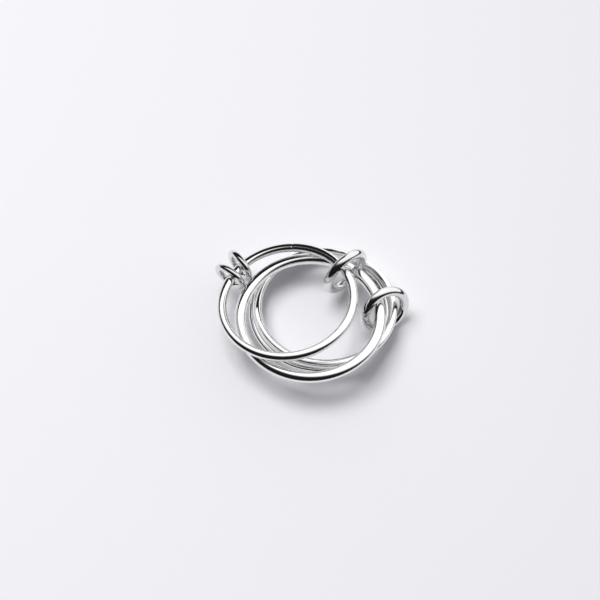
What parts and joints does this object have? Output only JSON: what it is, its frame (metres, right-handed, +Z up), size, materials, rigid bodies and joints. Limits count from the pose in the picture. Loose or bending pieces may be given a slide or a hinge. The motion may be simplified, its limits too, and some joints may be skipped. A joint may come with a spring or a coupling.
{
  "type": "linked ring puzzle",
  "caption": "Loose set of linked polished round-wire rings: large bands in a stack, held by small upright connector rings, with little links on the front band.",
  "frame": {"origin": "centre of the footprint, on the surface the rings lie on", "axes": "+Z up, +X to the side connector, -Y to the side the front band and thick band cross"},
  "size_m": [0.0278, 0.0236, 0.0094],
  "materials": {
    "band_metal": "mirror polished, with fine handling scratches",
    "connector_metal": "mirror polished, with fine handling scratches",
    "link_metal": "mirror polished, with fine handling scratches"
  },
  "bodies": {
    "thick_band": {"thick_band": "band_metal"},
    "outer_band": {"outer_band": "band_metal"},
    "lower_band": {"lower_band": "band_metal"},
    "front_band": {"front_band": "band_metal"},
    "side_connector": {"side_connector": "connector_metal"},
    "rear_connector": {"rear_connector": "connector_metal"},
    "left_link_front": {"left_link_front": "link_metal"},
    "left_link_back": {"left_link_back": "link_metal"}
  },
  "joints": [
    {"name": "outer_band_turn", "type": "hinge", "parent": "thick_band", "child": "outer_band", "pos_m": [0.00189, 0.00147, 0.00331], "axis": [0, 0.0802, 0.9968], "continuous": true},
    {"name": "lower_band_turn", "type": "hinge", "parent": "thick_band", "child": "lower_band", "pos_m": [0.00123, 0.00151, 0.00187], "axis": [-0.0122, 0.0819, 0.9966], "continuous": true},
    {"name": "side_connector_slide", "type": "hinge", "parent": "thick_band", "child": "side_connector", "pos_m": [-0.00026, -0.00114, 0.00504], "axis": [-0.0227, 0.048, 0.9986], "range_deg": [-6, 0]},
    {"name": "rear_connector_slide", "type": "hinge", "parent": "thick_band", "child": "rear_connector", "pos_m": [-0.00026, -0.00114, 0.00504], "axis": [-0.0227, 0.048, 0.9986], "range_deg": [-12, 0]},
    {"name": "front_band_fold", "type": "hinge", "parent": "rear_connector", "child": "front_band", "pos_m": [0.00428, 0.00567, 0.00711], "axis": [-0.5431, 0.8294, -0.1305], "range_deg": [0, 150]},
    {"name": "left_link_front_slide", "type": "hinge", "parent": "front_band", "child": "left_link_front", "pos_m": [-0.00349, 0.00051, 0.00661], "axis": [-0.1163, 0.0797, 0.99], "range_deg": [0, 15]},
    {"name": "left_link_back_turn", "type": "hinge", "parent": "front_band", "child": "left_link_back", "pos_m": [-0.01036, 0.0075, 0.00475], "axis": [0.7845, 0.6196, 0.0262], "continuous": true}
  ]
}
